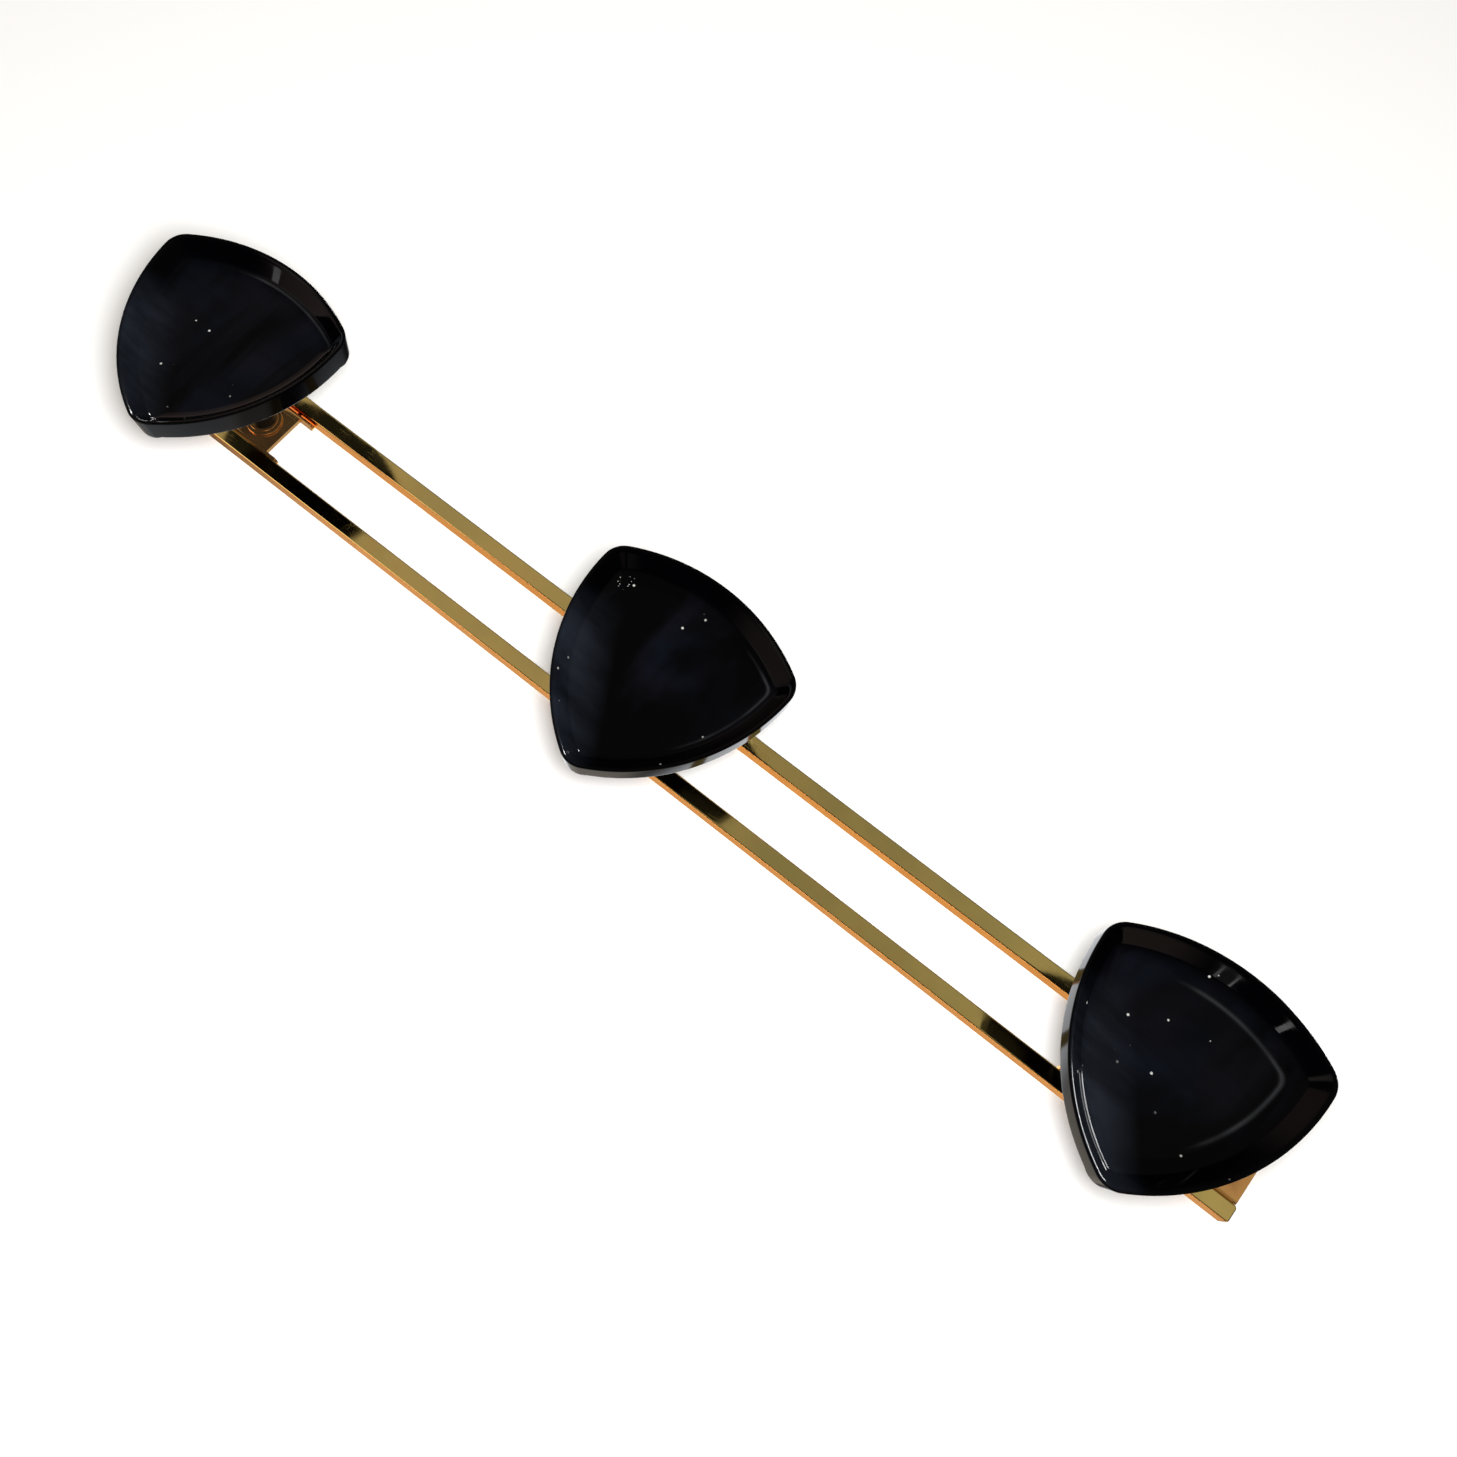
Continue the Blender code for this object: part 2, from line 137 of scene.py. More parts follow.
# Rails, fasteners and the clearance between parts
RAIL_CORNER = 1.3 * MM
RAIL_EDGE = 0.75 * MM
CLEAR = 0.3 * MM
BOLT_RADIUS = 2.4 * MM
BOLT_HEAD = 1.5 * MM             # thickness
HOLE_RADIUS = BOLT_RADIUS + CLEAR
CROSS_LENGTH = 5.2 * MM          # of the screwdriver cross in a bolt's head
CROSS_WIDTH = 1.1 * MM
CROSS_DEPTH = 0.9 * MM
RIVET_RADIUS = 0.8 * MM
RIVET_HEAD = 0.8 * MM            # thickness
RIVET_LENGTH = 6.5 * MM
RIVET_SIDES = 32
RIVET_Y = 1.5 * MM               # height above the wall
RIVET_INSET = 4.5 * MM           # from the plate's end
ROUND = 72                       # sides of a turned piece

RAIL_LOW, RAIL_HIGH = (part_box(name) for name in ("rail_lower", "rail_upper"))
RAIL_SIDE = RAIL_LOW[1].z - RAIL_LOW[0].z
RAIL_END = RAIL_LOW[1].x
AXIS_Z = (RAIL_LOW[0].z + RAIL_HIGH[1].z) / 2
FLANGE_OUT = RAIL_HIGH[0].z - AXIS_Z - CLEAR
FLANGE_IN = FLANGE_OUT - SHEET


def axis_x(side):
    """X of a knob's turning axis, from its post's box."""
    low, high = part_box(f"stem_{side}")
    return (low.x + high.x) / 2


KNOB_X = {side: axis_x(side) for side in SIDES}


# ---------------------------------------------------------------- node materials

class Shader:
    """A node material that is built one node at a time."""

    def __init__(self, name):
        self.material = bpy.data.materials.new(name)
        self.material.use_nodes = True
        self.tree = self.material.node_tree
        self.surface = self.tree.nodes["Principled BSDF"]
        self.object_place = self.node("ShaderNodeTexCoord").outputs["Object"]

    def node(self, kind, links=(), **settings):
        """Add a node; links are (input, value) pairs, and a value may be another node's output."""
        made = self.tree.nodes.new(kind)
        for key, value in settings.items():
            setattr(made, key, value)
        for key, value in links:
            self.put(made.inputs[key], value)
        return made

    def put(self, socket, value):
        """Link an output to a socket, or set the socket's own value."""
        if isinstance(value, bpy.types.NodeSocket):
            self.tree.links.new(value, socket)
        else:
            socket.default_value = value

    def set(self, **values):
        """Set the surface shader's sockets; an underscore in a name stands for a space."""
        for key, value in values.items():
            self.put(self.surface.inputs[key.replace("_", " ")], value)

    def stretched(self, scale, turn=(0.0, 0.0, 0.0), place=(0.0, 0.0, 0.0)):
        """Object coordinates, scaled, turned in degrees and moved."""
        links = [("Vector", self.object_place), ("Scale", scale), ("Location", place),
                 ("Rotation", [radians(a) for a in turn])]
        return self.node("ShaderNodeMapping", links).outputs["Vector"]

    def moved(self, place):
        """Object coordinates, moved, so that a texture falls elsewhere."""
        return self.stretched((1.0, 1.0, 1.0), place=place)

    def noise(self, place, scale, detail=4.0, rough=0.55, twist=0.0):
        """Value of a noise texture."""
        links = [("Vector", place), ("Scale", scale), ("Detail", detail), ("Roughness", rough),
                 ("Distortion", twist)]
        return self.node("ShaderNodeTexNoise", links).outputs["Fac"]

    def cells(self, place, scale, feature="F1", spread=1.0):
        """Distance output of a Voronoi texture."""
        links = [("Vector", place), ("Scale", scale), ("Randomness", spread)]
        return self.node("ShaderNodeTexVoronoi", links, feature=feature).outputs["Distance"]

    def ramp(self, value, low, high, out_low=0.0, out_high=1.0):
        """Map a value smoothly from one range to another and hold it at the ends."""
        links = [("Value", value), ("From Min", low), ("From Max", high), ("To Min", out_low),
                 ("To Max", out_high)]
        made = self.node("ShaderNodeMapRange", links, interpolation_type="SMOOTHSTEP")
        return made.outputs["Result"]

    def math(self, operation, first, second=0.0):
        """A math node."""
        made = self.node("ShaderNodeMath", operation=operation, use_clamp=False)
        self.put(made.inputs[0], first)
        self.put(made.inputs[1], second)
        return made.outputs["Value"]

    def blend(self, amount, first, second):
        """Mix two colours."""
        made = self.node("ShaderNodeMix", data_type="RGBA")
        self.put(made.inputs["Factor"], amount)
        self.put(made.inputs["A"], colour(first))
        self.put(made.inputs["B"], colour(second))
        return made.outputs["Result"]

    def bump(self, height, distance, strength=1.0):
        """Bump from a height value."""
        links = [("Height", height), ("Distance", distance), ("Strength", strength)]
        self.set(Normal=self.node("ShaderNodeBump", links).outputs["Normal"])


def colour(value):
    """Give a plain RGB colour its alpha; leave a socket as it is."""
    return value if isinstance(value, bpy.types.NodeSocket) else (*value, 1.0)


def polished_brass(name, tint, dull, warm, under, wear, metal):
    """Polished brass with drifting tone, lengthwise scratches, a few rings and pits; faces that
    look down are painted in the tone called under, a painted reflection of warm surroundings."""
    made = Shader(name)
    drift = made.ramp(made.noise(made.object_place, 38.0, 3.0), 0.35, 0.68)
    tone = made.blend(drift, tint, dull)
    flush = made.ramp(made.noise(made.moved((3.1, 0.4, 1.7)), 90.0, 2.0), 0.5, 0.8, 0.0, 0.6)
    tone = made.blend(flush, tone, warm)
    normal = made.node("ShaderNodeTexCoord").outputs["Normal"]
    up = made.node("ShaderNodeSeparateXYZ", [(0, normal)]).outputs["Z"]
    # Painted reflection: downward faces take the under tone because of the way they face
    tone = made.blend(made.ramp(up, -0.9, -0.5, 1.0, 0.0), tone, under)

    lines = made.noise(made.stretched((30.0, 1500.0, 1500.0), turn=(0.0, 1.2, 0.0)), 1.0, 2.0)
    along = made.stretched((60.0, 2200.0, 2200.0), turn=(0.0, -4.0, 2.0), place=(5.0, 2.0, 0.0))
    hairs = made.noise(along, 1.0, 1.0)
    scratches = made.ramp(hairs, 0.66, 0.74)
    cell = made.cells(made.object_place, 210.0)
    patch = made.ramp(made.noise(made.moved((7.7, 2.2, 5.1)), 16.0, 1.0), 0.54, 0.66)
    beside = made.math("ABSOLUTE", made.math("SUBTRACT", cell, 0.22))
    ring = made.math("MULTIPLY", made.ramp(beside, 0.0, 0.05, 1.0, 0.0), patch)
    small = made.ramp(made.cells(made.object_place, 700.0), 0.06, 0.16, 1.0, 0.0)
    pits = made.math("MULTIPLY", small, patch)
    marks = made.math("MAXIMUM", made.math("MULTIPLY", scratches, 0.5), ring)
    worn = made.math("MULTIPLY", marks, wear)
    tone = made.blend(made.math("MULTIPLY", pits, 0.55 * wear), tone, (0.10, 0.055, 0.015))
    rough = made.ramp(made.noise(made.object_place, 120.0, 4.0), 0.3, 0.75, 0.045, 0.13)
    rough = made.math("ADD", rough, made.math("MULTIPLY", worn, 0.22))
    made.set(Base_Color=tone, Metallic=metal, Roughness=rough)
    made.surface.inputs["Specular Tint"].default_value = (1.0, 0.84, 0.60, 1.0)
    relief = made.math("SUBTRACT", made.math("MULTIPLY", lines, 0.25), made.math("ADD", worn, pits))
    made.bump(relief, 0.02 * MM, 0.35)
    return made.material


def black_gloss():
    """Glossy black plastic with smoky wipe marks whose bluish tone is partly a painted reflection, a
    painted highlight line along the dish's edge, a painted bluish reflection in the lower left,
    fine scratches and crumbs of dust.

    The knobs' meshes say where the marks lie: inset is how far a point lies inside the rim, and
    two more attributes say how strong the painted reflection and the painted highlight line are.
    """
    made = Shader("black_gloss")
    wipe = made.noise(made.stretched((30.0, 30.0, 11.0), turn=(0.0, 38.0, 0.0)), 1.0, 3.0, 0.5, 0.9)
    across = made.stretched((22.0, 22.0, 75.0), turn=(0.0, -24.0, 0.0), place=(2.2, 0.0, 5.0))
    streaks = made.noise(across, 1.0, 4.0)
    inset = made.node("ShaderNodeAttribute", attribute_name="inset").outputs["Fac"]
    film_and_sheen = made.math("MULTIPLY", made.ramp(wipe, 0.40, 0.66), made.ramp(inset, 5.0 * MM, 12.0 * MM))
    haze_and_sheen = made.math("MULTIPLY", film_and_sheen, made.ramp(streaks, 0.30, 0.70, 0.45, 1.0))
    hue = made.ramp(made.noise(made.moved((9.0, 1.0, 3.0)), 26.0, 1.0), 0.4, 0.6)
    # The smoky film is real wear; its bluish tone also stands in for a painted reflection
    smoke_and_sheen = made.blend(hue, (0.0024, 0.0035, 0.0072), (0.0036, 0.0034, 0.0062))
    tone = made.blend(haze_and_sheen, (0.0003, 0.0003, 0.0006), smoke_and_sheen)
    left = made.node("ShaderNodeAttribute", attribute_name="painted_sheen_share").outputs["Fac"]
    painted_sheen = made.math("MULTIPLY", left, made.ramp(streaks, 0.32, 0.62, 0.35, 1.0))
    # Painted reflection: a bluish sheen in the lower left of the dish, in place of a window's
    # reflection
    tone = made.blend(painted_sheen, tone, (0.0130, 0.0160, 0.0235))

    line = made.node("ShaderNodeAttribute", attribute_name="painted_glint_line").outputs["Fac"]
    wander = made.noise(made.object_place, 55.0, 1.0)
    patchy = made.ramp(wander, 0.32, 0.6, 0.25, 1.0)
    painted_glint = made.math("MULTIPLY", made.ramp(line, 0.0, 1.0), patchy)
    # Painted highlight: a light line along the dish's edge, where a reflection falls
    tone = made.blend(painted_glint, tone, (0.020, 0.021, 0.023))

    crumb = made.ramp(made.cells(made.object_place, 125.0), 0.045, 0.085, 1.0, 0.0)
    lint = made.ramp(made.cells(made.moved((0.6, 0.1, 0.9)), 760.0), 0.11, 0.21, 1.0, 0.0)
    where = made.noise(made.moved((4.2, 0.3, 2.5)), 30.0, 1.0)
    ends = [(0, made.object_place), (1, CRUMB_HEAP)]
    away = made.node("ShaderNodeVectorMath", ends, operation="DISTANCE")
    heap = made.ramp(away.outputs["Value"], 2.6 * MM, 4.6 * MM, 1.0, 0.0)
    dust = made.math("MAXIMUM", made.math("MULTIPLY", crumb, made.ramp(where, 0.50, 0.56)),
                     made.math("MULTIPLY", lint, heap))
    dust = made.math("MULTIPLY", dust, made.ramp(inset, 0.0, 1.0 * MM))
    made.set(Base_Color=made.blend(dust, tone, (0.50, 0.50, 0.48)))

    hairs = made.noise(made.stretched((240.0, 240.0, 1900.0), turn=(0.0, 27.0, 0.0)), 1.0, 1.0)
    scratches = made.ramp(hairs, 0.70, 0.76)
    handled = made.ramp(inset, 1.0 * MM, 5.0 * MM, 0.08, 0.0)
    rough = made.math("ADD", made.ramp(haze_and_sheen, 0.0, 1.0, 0.03, 0.16), handled)
    rough = made.math("ADD", rough, made.math("MULTIPLY", scratches, 0.10))
    made.set(Roughness=made.math("MAXIMUM", rough, made.math("MULTIPLY", dust, 0.8)))
    made.surface.inputs["Specular IOR Level"].default_value = 0.07
    ripple = made.noise(made.object_place, 45.0, 1.0)
    relief = made.math("ADD", ripple, made.math("MULTIPLY", dust, 0.5))
    made.bump(relief, 0.08 * MM, 0.3)
    return made.material


def black_lacquer():
    """Semi-gloss black lacquer with a light orange peel."""
    made = Shader("black_lacquer")
    peel = made.noise(made.object_place, 900.0, 2.0)
    cloud = made.ramp(made.noise(made.object_place, 120.0), 0.4, 0.7)
    tone = made.blend(cloud, (0.003, 0.003, 0.0035), (0.008, 0.007, 0.006))
    made.set(Base_Color=tone, Roughness=made.ramp(peel, 0.3, 0.7, 0.12, 0.24))
    made.surface.inputs["Specular IOR Level"].default_value = 0.2
    made.bump(peel, 0.02 * MM, 0.5)
    return made.material


def zinc_steel():
    """Zinc-plated steel with a cloudy plating and fine turning marks."""
    made = Shader("zinc_steel")
    cloud = made.ramp(made.noise(made.object_place, 420.0, 3.0), 0.35, 0.7)
    tone = made.blend(cloud, (0.50, 0.51, 0.53), (0.63, 0.62, 0.57))
    turning = made.noise(made.stretched((900.0, 4500.0, 900.0)), 1.0, 2.0)
    made.set(Base_Color=tone, Metallic=1.0, Roughness=made.ramp(turning, 0.3, 0.7, 0.26, 0.42))
    made.bump(turning, 0.01 * MM, 0.5)
    return made.material


# ---------------------------------------------------------------- mesh helpers

def linked(name, data):
    """A new object in the scene."""
    made = bpy.data.objects.new(name, data)
    bpy.context.scene.collection.objects.link(made)
    return made


def finish_mesh(name, shape):
    """Turn a bmesh into a mesh whose faces all point outwards."""
    bmesh.ops.recalc_face_normals(shape, faces=shape.faces)
    mesh = bpy.data.meshes.new(name)
    shape.to_mesh(mesh)
    shape.free()
    return mesh


def add_mesh(name, mesh, skin=None, place=(0.0, 0.0, 0.0), turn=(0.0, 0.0, 0.0), sharp=35):
    """Link an object that uses mesh, shaded smooth up to an angle in degrees."""
    mesh.shade_smooth()
    mesh.set_sharp_from_angle(angle=radians(sharp))
    if skin is not None:
        mesh.materials.clear()
        mesh.materials.append(skin)
    made = linked(name, mesh)
    made.location = place
    made.rotation_euler = turn
    return made


def loft(name, rings, closed=False):
    """Skin a row of rings; a ring of one point closes an end, and closed joins last to first."""
    shape = bmesh.new()
    rows = [[shape.verts.new(point) for point in ring] for ring in rings]
    pairs = list(zip(rows, rows[1:]))
    if closed:
        pairs.append((rows[-1], rows[0]))
    for near, far in pairs:
        count = max(len(near), len(far))
        for i in range(count):
            j = (i + 1) % count
            if len(near) == 1:
                shape.faces.new((near[0], far[i], far[j]))
            elif len(far) == 1:
                shape.faces.new((near[i], far[0], near[j]))
            else:
                shape.faces.new((near[i], far[i], far[j], near[j]))
    return finish_mesh(name, shape)


def eased(points, steps=6):
    """Round the corners of a path; a point's last value is how far its rounding reaches."""
    path = []
    last = len(points) - 1
    for number, (*values, reach) in enumerate(points):
        here = Vector(values)
        if reach == 0.0 or number in (0, last):
            path.append(here)
            continue
        before = Vector(points[number - 1][:-1]) - here
        after = Vector(points[number + 1][:-1]) - here
        start = here + before * min(0.5, reach / before.length)
        end = here + after * min(0.5, reach / after.length)
        for step in range(steps + 1):
            t = step / steps
            path.append(start * (1 - t) ** 2 + here * 2 * t * (1 - t) + end * t ** 2)
    return path


def circle(radius, height, sides=ROUND):
    """Points of a circle around the Y axis, at a height above the wall."""
    if radius < 1e-6:
        return [(0.0, -height, 0.0)]
    angles = [2 * pi * i / sides for i in range(sides)]
    return [(radius * cos(a), -height, radius * sin(a)) for a in angles]


def turned(name, profile, sides=ROUND, closed=False):
    """Turn a profile of (radius, height, rounding) points around the Y axis."""
    return loft(name, [circle(p[0], p[1], sides) for p in eased(profile)], closed)


def prism(name, outline, start, end, along):
    """Extrude a flat outline; along 'X' it holds (y, z) points and along 'Z' (x, y) points."""
    place = {"X": lambda p, t: (t, p[0], p[1]), "Z": lambda p, t: (p[0], p[1], t)}[along]
    shape = bmesh.new()
    rows = [[shape.verts.new(place(point, t)) for point in outline] for t in (start, end)]
    count = len(outline)
    for i in range(count):
        j = (i + 1) % count
        shape.faces.new((rows[0][i], rows[0][j], rows[1][j], rows[1][i]))
    for row in rows:
        shape.faces.new(row)
    return finish_mesh(name, shape)


def rectangle(x_from, x_to, y_from, y_to):
    """Corners of a rectangle in a plane, in order around it."""
    return [(x_from, y_from), (x_to, y_from), (x_to, y_to), (x_from, y_to)]


def arc(centre, radius, start, end, steps):
    """Points of an arc in a plane, with both ends; angles are in degrees."""
    angles = [radians(start + (end - start) * i / steps) for i in range(steps + 1)]
    return [(centre[0] + radius * cos(a), centre[1] + radius * sin(a)) for a in angles]


def cut(target, mesh, place=(0.0, 0.0, 0.0), turn=(0.0, 0.0, 0.0)):
    """Cut a closed shape out of target with an exact Boolean."""
    cutter = add_mesh("cutter", mesh, None, place, turn)
    step = target.modifiers.new("cut", "BOOLEAN")
    step.operation = "DIFFERENCE"
    step.solver = "EXACT"
    step.object = cutter
    return cutter


def soften(target, width, steps=3, angle=40):
    """Bevel the sharp edges of target."""
    step = target.modifiers.new("soften", "BEVEL")
    step.width = width
    step.segments = steps
    step.limit_method = "ANGLE"
    step.angle_limit = radians(angle)
    step.harden_normals = True


def apply_modifiers(target, cutters=()):
    """Replace target's mesh with its result and remove the cutters."""
    bpy.context.view_layer.update()
    result = target.evaluated_get(bpy.context.evaluated_depsgraph_get())
    target.data = bpy.data.meshes.new_from_object(result)
    target.modifiers.clear()
    for cutter in cutters:
        bpy.data.objects.remove(cutter)


def stand_for(piece, node, body):
    """Let a piece take the place of a CAD node on its body."""
    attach(piece, body)
    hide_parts(node)


# ---------------------------------------------------------------- rails

def rail(level, skin):
    """A square bar with rounded end corners and softened edges."""
    low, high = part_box(f"rail_{level}")
    shape = bmesh.new()
    bmesh.ops.create_cube(shape, size=1.0)
    bmesh.ops.scale(shape, vec=high - low, verts=shape.verts)
    bmesh.ops.translate(shape, vec=(low + high) / 2, verts=shape.verts)
    corners = []
    for edge in shape.edges:
        start, end = (vertex.co for vertex in edge.verts)
        if abs(start.y - end.y) > RAIL_SIDE / 2:
            corners.append(edge)
    bmesh.ops.bevel(shape, geom=corners, offset=RAIL_CORNER, segments=6, profile=0.5,
                    affect="EDGES")
    piece = add_mesh(f"rail_bar_{level}", finish_mesh(f"rail_bar_{level}", shape), skin)
    soften(piece, RAIL_EDGE, steps=6, angle=30)
    apply_modifiers(piece)
    stand_for(piece, f"rail_{level}", "rack")


# ---------------------------------------------------------------- brackets

def bracket_span(side):
    """Low and high X of a bracket's plate, and whether each end has ears."""
    middle = KNOB_X[side]
    if side == "left":
        return -RAIL_END, middle + PLATE_REACH, False, True
    if side == "right":
        return middle - PLATE_REACH, RAIL_END, True, False
    return middle - PLATE_REACH, middle + PLATE_REACH, True, True


def channel_section():
    """The folded sheet's section in (y, z): a plate with a rounded fold down to each flange."""
    inner = BEND - SHEET
    outer_z = FLANGE_OUT - BEND
    front = -(PLATE_FRONT - BEND)
    points = [(0.0, FLANGE_OUT)]
    points += arc((front, outer_z), BEND, 90, 180, BEND_STEPS)
    points += arc((front, -outer_z), BEND, 180, 270, BEND_STEPS)
    points += [(0.0, -FLANGE_OUT), (0.0, -FLANGE_IN)]
    points += arc((front, -outer_z), inner, 270, 180, INNER_STEPS)
    points += arc((front, outer_z), inner, 180, 90, INNER_STEPS)
    points.append((0.0, FLANGE_IN))
    return [(y, AXIS_Z + z) for y, z in points]


def ear_trim(tip, outward):
    """Outline in (x, y) of what is cut away around a round-ended ear."""
    centre = tip - outward * EAR_RADIUS
    around = arc((0.0, -PLATE_FRONT / 2), EAR_RADIUS, -90, 90, EAR_STEPS)
    points = [(centre + outward * x, y) for x, y in around]
    return points + rectangle(centre, tip + outward * MM, MM, -PLATE_FRONT - MM)


def hole(radius, low, high, sides=ROUND):
    """A plain drill that runs between two heights."""
    profile = [(0.0, low, 0.0), (radius, low, 0.0), (radius, high, 0.0), (0.0, high, 0.0)]
    return turned("drill", profile, sides)


def countersunk_hole():
    """The drill for a wall screw: a straight hole with a cone at the plate's face."""
    over = 0.5 * MM
    profile = [(0.0, PLATE_BACK - MM, 0.0), (WALL_HOLE_RADIUS, PLATE_BACK - MM, 0.0),
               (WALL_HOLE_RADIUS, PLATE_BACK + WALL_HOLE_LAND, 0.0),
               (WALL_SINK_RADIUS + over, PLATE_FRONT + over, 0.0), (0.0, PLATE_FRONT + over, 0.0)]
    return turned("sink", profile)


def bracket(side, skin):
    """One folded bracket with its ears, bolt hole, rivet holes and countersunk wall hole."""
    low, high, ears_low, ears_high = bracket_span(side)
    start = low - EAR if ears_low else low
    end = high + EAR if ears_high else high
    name = f"bracket_sheet_{side}"
    piece = add_mesh(name, prism(name, channel_section(), start, end, "X"), skin)
    reach = FLANGE_OUT + SHEET
    cutters = []
    for has_ears, plate_end, outward in ((ears_low, low, -1), (ears_high, high, 1)):
        if not has_ears:
            continue
        tip = plate_end + outward * EAR
        outline = rectangle(plate_end, tip + outward * MM, MM, -PLATE_FRONT - MM)
        window = prism("window", outline, AXIS_Z - FLANGE_IN, AXIS_Z + FLANGE_IN, "Z")
        cutters.append(cut(piece, window))
        trim = prism("ear", ear_trim(tip, outward), AXIS_Z - reach, AXIS_Z + reach, "Z")
        cutters.append(cut(piece, trim))
    bolt_hole = hole(HOLE_RADIUS, PLATE_BACK - MM, PLATE_FRONT + MM)
    cutters.append(cut(piece, bolt_hole, (KNOB_X[side], 0.0, AXIS_Z)))
    if side != "middle":
        x = WALL_HOLE_X if side == "right" else -WALL_HOLE_X
        cutters.append(cut(piece, countersunk_hole(), (x, 0.0, AXIS_Z)))
    for x in (low + RIVET_INSET, high - RIVET_INSET):
        for way in (1, -1):
            drill = hole(RIVET_RADIUS + CLEAR, -MM, SHEET + MM, RIVET_SIDES)
            cutters.append(cut(piece, drill, (x, -RIVET_Y, AXIS_Z + way * FLANGE_IN),
                               (radians(-90 * way), 0.0, 0.0)))
    soften(piece, SHEET_EDGE, steps=2, angle=50)
    apply_modifiers(piece, cutters)
    stand_for(piece, f"bracket_{side}", "rack")


def rivets(side, skin):
    """Four domed rivets that hold a bracket's flanges to the two rails."""
    profile = [(0.0, 0.0, 0.0), (0.9 * MM, 0.0, 0.5 * MM), (1.2 * MM, 0.45 * MM, 0.3 * MM),
               (1.2 * MM, RIVET_HEAD, 0.1 * MM), (RIVET_RADIUS, RIVET_HEAD, 0.0),
               (RIVET_RADIUS, RIVET_LENGTH, 0.0), (0.0, RIVET_LENGTH, 0.0)]
    low, high, _, _ = bracket_span(side)
    number = 0
    for x in (low + RIVET_INSET, high - RIVET_INSET):
        for way in (1, -1):
            number += 1
            name = f"rivet_{side}_{number}"
            z = AXIS_Z + way * (FLANGE_IN - CLEAR - RIVET_HEAD)
            piece = add_mesh(f"domed_{name}", turned(name, profile, RIVET_SIDES), skin,
                             (x, -RIVET_Y, z), (radians(-90 * way), 0.0, 0.0))
            stand_for(piece, name, "rack")


# ---------------------------------------------------------------- knobs

def knob_outline(inset, corner):
    """Points around a rounded triangle inside the rim's outline: x, z and whether on a corner."""
    side_radius = SIDE_CENTRE + SIDE_REACH - inset
    gap = side_radius - corner
    corner_reach = (sqrt(4 * gap ** 2 - 3 * SIDE_CENTRE ** 2) - SIDE_CENTRE) / 2
    corner_half = atan2(SIDE_CENTRE * sqrt(3) / 2, corner_reach + SIDE_CENTRE / 2)
    side_half = pi / 3 - corner_half
    points = []
    for number in range(3):
        vertex = radians(-90 + 120 * number)
        for i in range(CORNER_STEPS + 1):
            a = vertex + corner_half * (2 * i / CORNER_STEPS - 1)
            points.append((corner_reach * cos(vertex) + corner * cos(a),
                           corner_reach * sin(vertex) + corner * sin(a), True))
        side = vertex + pi / 3
        for i in range(1, SIDE_STEPS):
            a = side + side_half * (2 * i / SIDE_STEPS - 1)
            points.append((side_radius * cos(a) - SIDE_CENTRE * cos(side),
                           side_radius * sin(a) - SIDE_CENTRE * sin(side), False))
    return points


def outline_ring(inset, corner, height, lug):
    """A ring of the knob's outline at a height above the wall, lower by lug at the corners."""
    ring = []
    for x, z, is_corner in knob_outline(inset, corner):
        above = height - lug if is_corner else height
        ring.append((x, -above, z))
    return ring


def boss_ring(radius, height):
    """A circle with one point for each point of the knob's outline, in the same directions."""
    points = []
    for x, z, _ in knob_outline(0.0, CORNER_RADIUS):
        a = atan2(z, x)
        points.append((radius * cos(a), -height, radius * sin(a)))
    return points


def knob_mesh():
    """One knob around its turning axis: bored boss, flat back, outer wall, rim and dish."""
    bore_end = BOSS_END + BORE_DEPTH
    boss = [(BORE_RADIUS, bore_end, 0.0), (BORE_RADIUS, BOSS_END, 0.3 * MM),
            (BOSS_RADIUS, BOSS_END, 0.7 * MM), (BOSS_RADIUS, UNDERSIDE, 1.4 * MM),
            (BOSS_RADIUS + 4 * MM, UNDERSIDE, 0.0)]
    rings = [[(0.0, -bore_end, 0.0)]]
    rings += [boss_ring(radius, height) for radius, height in eased(boss)]
    profile = eased([[value * MM for value in row] for row in KNOB_SHELL])
    insets = [0.0] * sum(len(ring) for ring in rings)
    top = max(range(len(profile)), key=lambda number: profile[number][2])
    for number, values in enumerate(profile):
        rings.append(outline_ring(*values))
        insets += [values[0] if number > top else 0.0] * len(rings[-1])
    rings.append([(0.0, -DISH_FLOOR, 0.0)])
    insets.append(SIDE_REACH)
    mesh = loft("knob_shell", rings)
    mesh.attributes.new("inset", "FLOAT", "POINT").data.foreach_set("value", insets)
    return mesh


def held(value):
    """A value, held between 0 and 1."""
    return min(1.0, max(0.0, value))


def mark_painted_light(mesh, side):
    """Mark, point by point, where the painted highlight line and the painted bluish reflection lie
    in a knob's dish.
    """
    inset, low, high = PAINTED_GLINT_LINES[side]
    middle, half = (low + high) / 2, (high - low) / 2
    start = PAINTED_SHEEN_START[side]
    marks, sheen_shares = [], []
    for point, depth in zip(mesh.vertices, mesh.attributes["inset"].data):
        turn = (degrees(atan2(point.co.z, point.co.x)) - middle + 180) % 360 - 180
        near = held(1 - abs(depth.value - inset) / LINE_WIDTH)
        marks.append(near * held((half - abs(turn)) / LINE_FADE))
        in_dish = held(depth.value / PAINTED_SHEEN_INSET)
        leftwards = held((point.co.dot(PAINTED_SHEEN_LEFT) - start) / PAINTED_SHEEN_FADE)
        low_down = held((point.co.dot(PAINTED_SHEEN_DOWN) - PAINTED_SHEEN_TOP) / PAINTED_SHEEN_FADE)
        sheen_shares.append(in_dish * leftwards * low_down)
    mesh.attributes.new("painted_glint_line", "FLOAT", "POINT").data.foreach_set("value", marks)
    mesh.attributes.new("painted_sheen_share", "FLOAT", "POINT").data.foreach_set("value", sheen_shares)


